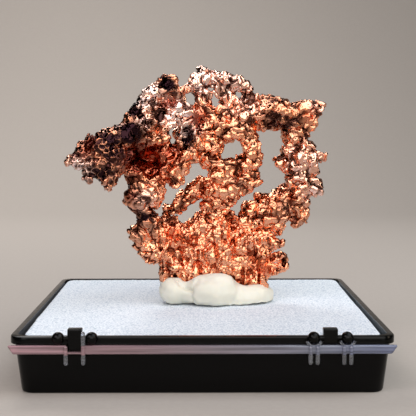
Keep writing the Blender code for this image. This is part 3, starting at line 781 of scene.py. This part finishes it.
# Brown-black patches, weaker on the crests.
crest_thinning = add_node(
    tree,
    "MapRange",
    value=marks["crease"],
    from_min=0.1,
    from_max=0.45,
    to_min=0.35,
    to_max=1.0,
)
dark_share = add_node(
    tree, "Math", marks["dark_patch"], crest_thinning.outputs["Result"], settings={"operation": "MULTIPLY"}
)
darkened = add_node(
    tree,
    "MixRGB",
    fac=dark_share.outputs["Value"],
    color1=hollow_reddened.outputs["Color"],
    color2=linear("#27161a"),
)
haze = add_node(
    tree,
    "MapRange",
    value=mottle.outputs["Fac"],
    from_min=0.3,
    from_max=0.7,
    to_min=0.05,
    to_max=0.14,
)
blur = add_node(
    tree,
    "Math",
    marks["satin"],
    SATIN_BLUR,
    haze.outputs["Result"],
    settings={"operation": "MULTIPLY_ADD"},
)
faces = add_node(tree, "TexVoronoi", vector=place, scale=1 / FACET)
lean = add_node(
    tree,
    "VectorMath",
    faces.outputs["Color"],
    (0.5, 0.5, 0.5),
    settings={"operation": "SUBTRACT"},
)
leaning = add_node(
    tree,
    "VectorMath",
    settings={"operation": "SCALE"},
    vector=lean.outputs["Vector"],
    scale=FACET_LEAN,
)
facing = add_node(
    tree,
    "VectorMath",
    leaning.outputs["Vector"],
    geometry.outputs["Normal"],
    settings={"operation": "ADD"},
)
facet = add_node(
    tree, "VectorMath", settings={"operation": "NORMALIZE"}, vector=facing.outputs["Vector"]
)
plug(
    shader,
    base_color=darkened.outputs["Color"],
    roughness=blur.outputs["Value"],
    normal=facet.outputs["Vector"],
)


def growth_at(points):
    """How strong each kind of growth is at each point: its branch's, and shared at a fork."""
    away = []
    for solid in BRANCH_SOLIDS.values():
        found = [solid.find_nearest(point, FORK_REACH)[3] for point in points.tolist()]
        away.append([FORK_REACH if distance is None else distance for distance in found])
    away = np.array(away)
    share = np.exp((away.min(0) - away) / FORK_BLEND)
    return np.array([GROWTH[name] for name in COPPER_NODES]).T @ (share / share.sum(0))


def twisted(points, size):
    """The points pushed about, so that grains drawn over them come out crooked and uneven."""
    pushes = [hills(points + turn * TWIST_STEP, TWIST_WIDTH * size) for turn in (1, 2, 3)]
    return points + TWIST * size * np.stack(pushes, axis=1)


def grains(points, size, dome, lean, crease):
    """Relief of packed grains: domes that lean, with creases between them."""
    first, second, offset, slope = packed_grains(twisted(points, size), size)
    groove = np.exp(-(((second - first) / GROOVE_WIDTH) ** 2))
    tilt = (offset * slope).sum(1)
    return (dome * (DOME_LEVEL - first**2) + lean * tilt - crease * groove) * size


def folds(points, sizes):
    """Sharp-crested folds up to 1 mm high, wide as sizes say along each axis."""
    return (1 - 3 * abs(hills(points, sizes) + 0.5 * hills(points + 1, sizes / FINER_FOLD))) * MM


def ribs(points):
    """Thin ribs round sunken flat faces, 1 mm from face to crest."""
    first, second, _, _ = packed_grains(points, RIB_CELL)
    return (np.exp(-(((second - first) / RIB_WIDTH) ** 2)) - RIB_SINK) * MM


def smear(points, patches):
    """How strongly a list of patches covers each point, 0 to 1."""
    cover = np.zeros(len(points))
    for (x, height), reach, strength in patches:
        away = np.hypot(points[:, 0] - x * MM, points[:, 2] - FOAM_LEVEL - height * MM)
        spread = np.exp(-((away / (reach * MM)) ** PATCH_FALLOFF))
        cover = np.maximum(cover, strength * spread)
    return cover


def reach_into_neighbours(points, node):
    """Moves the cut end of a branch on into the branches that it meets."""
    for other, solid in BRANCH_SOLIDS.items():
        if other == node:
            continue
        for number, point in enumerate(points.tolist()):
            met = solid.find_nearest(point, FORK_SEARCH)[0]
            if met is not None:
                points[number] += (met - Vector(point)).normalized() * FORK_OVERLAP
    return points


def grow_branch(node):
    """One branch: its solid swollen, then knobbed, then faceted with small crystal faces."""
    branch = melted(node.replace("copper", "branch"), node, native_copper)
    move_skin(branch, reach_into_neighbours(skin_of(branch)[0], node))
    swollen(branch, COPPER_SWELL, FUSE_MESH)
    points, normals = skin_of(branch)
    slab, knob, *_ = growth_at(points)
    knobs = slab * grains(points, SLAB, dome=0.1, lean=0.4, crease=0.0)
    knobs += knob * grains(points, KNOB, dome=0.9, lean=0.4, crease=0.15)
    move_skin(branch, points + normals * knobs[:, None])
    swollen(branch, 0, COPPER_MESH)
    points, normals = skin_of(branch)
    _, _, face, grit, rib, upright, level = growth_at(points)
    relief = face * grains(points, FACE, dome=0.25, lean=0.9, crease=0.3)
    relief += grit * grains(points, GRIT, dome=0.3, lean=0.6, crease=0.25)
    relief += rib * ribs(points)
    relief += upright * folds(points, UPRIGHT_FOLD)
    relief += level * folds(points, LEVEL_FOLD)
    relief *= 1 - FLATNESS * smear(points, FLATS)
    move_skin(branch, points + normals * relief[:, None])
    marks = {
        "crease": np.clip(0.5 - relief / (CREASE_SPREAD * relief.std()), 0, 1),
        "rosy_and_highlight": smear(points, ROSY_AND_HIGHLIGHT),
        "satin": smear(points, SATIN_AND_PAINTED_GLOW),
        "dark_patch": smear(points, DARK_PATCHES),
        "painted_hollow_red": smear(points, PAINTED_HOLLOW_RED),
        "painted_bounce_glow": smear(points, PAINTED_BOUNCE_GLOW),
    }
    for name, values in marks.items():
        branch.data.attributes.new(name, "FLOAT", "POINT").data.foreach_set("value", values)
    branch.data.shade_smooth()
    stand_for(branch, node)


for node in COPPER_NODES:
    grow_branch(node)

# ---------------------------------------------------------------------------- studio
# A pale sweep of matt card under and behind the box, in a dim room. A broad softbox hangs above to
# the right, one stands at the upper left and a large one in front, with a warm strip at the right
# and a lamp on the backdrop. The camera looks slightly down from in front of the hinges.

FLOOR_FRONT = -1.0
SIDE_REACH = 1.2
BACKDROP = 0.75
BACKDROP_BEND = 0.35
BACKDROP_TOP = 1.6
BEND_DEGREES = range(6, 91, 6)
OBJECT_MIDDLE = (0, 0, 0.04)
# Each lamp: its name, place, aim, width, height, brightness and colour
LAMPS = [
    ("overhead softbox", (0.30, -0.12, 0.52), OBJECT_MIDDLE, 0.56, 0.46, 3.4, "#f2f8ff"),
    ("upper left softbox", (-0.34, -0.34, 0.40), OBJECT_MIDDLE, 0.28, 0.30, 4.4, "#fff4fa"),
    ("right strip", (0.50, -0.25, 0.20), OBJECT_MIDDLE, 0.12, 0.30, 5.0, "#ffead2"),
    ("front softbox", (0.06, -0.62, 0.30), OBJECT_MIDDLE, 0.76, 0.46, 3.0, "#fffcf8"),
    ("backdrop lamp", (-0.14, 0.34, 0.42), (-0.17, 0.38, 0.0), 0.25, 0.25, 9.0, "#fffcfa"),
]
ROOM_BRIGHTNESS = 0.04
LENS = 84.32
SENSOR_WIDTH = 36
CAMERA_PLACE = (-0.547 * MM, -245.417 * MM, 56.159 * MM)
CAMERA_DOWN = 4.478
CAMERA_TURN = -0.4635

# Pale card: matt and faintly fibrous, so shadows on it are soft and it has no glare.
CARD_FIBRE = MM / 0.7
pale_card, tree, shader = new_material("pale card, matt", roughness=0.9, specular_ior_level=0.2)
place = add_node(tree, "NewGeometry").outputs["Position"]
fibre = add_node(tree, "TexNoise", vector=place, scale=1 / CARD_FIBRE, detail=3)
card = add_node(
    tree,
    "MixRGB",
    fac=fibre.outputs["Fac"],
    color1=linear("#a59e97"),
    color2=linear("#ada69f"),
)
plug(shader, base_color=card.outputs["Color"])

profile = [(FLOOR_FRONT, 0.0), (BACKDROP - BACKDROP_BEND, 0.0)]
for degrees in BEND_DEGREES:
    turn = math.radians(degrees)
    y = BACKDROP - BACKDROP_BEND + BACKDROP_BEND * math.sin(turn)
    profile.append((y, BACKDROP_BEND - BACKDROP_BEND * math.cos(turn)))
profile.append((BACKDROP, BACKDROP_TOP))
bm = bmesh.new()
left, right = [[bm.verts.new((x, y, z)) for y, z in profile] for x in (-SIDE_REACH, SIDE_REACH)]
for i in range(len(profile) - 1):
    bm.faces.new((left[i], right[i], right[i + 1], left[i + 1]))
sweep = new_piece("sweep", bm, pale_card)

for name, place, aim, width, height, brightness, code in LAMPS:
    lamp = bpy.data.lights.new(name, "AREA")
    lamp.shape = "RECTANGLE"
    lamp.size = width
    lamp.size_y = height
    lamp.energy = brightness * math.pi * width * height
    lamp.color = linear(code)[:3]
    box = bpy.data.objects.new(name, lamp)
    box.location = place
    box.rotation_euler = (Vector(aim) - Vector(place)).to_track_quat("-Z", "Y").to_euler()
    bpy.context.scene.collection.objects.link(box)

room = bpy.data.worlds.new("dim room")
room.use_nodes = True
plug(room.node_tree.nodes["Background"], color=linear("#b9b2ab"), strength=ROOM_BRIGHTNESS)
scene = bpy.context.scene
scene.world = room
scene.view_settings.view_transform = "Standard"

lens = bpy.data.cameras.new("camera")
lens.lens = LENS
lens.sensor_width = SENSOR_WIDTH
lens.clip_start = 10 * MM
camera = bpy.data.objects.new("camera", lens)
camera.location = CAMERA_PLACE
camera.rotation_euler = (math.radians(90 - CAMERA_DOWN), 0, math.radians(CAMERA_TURN))
scene.collection.objects.link(camera)
scene.camera = camera
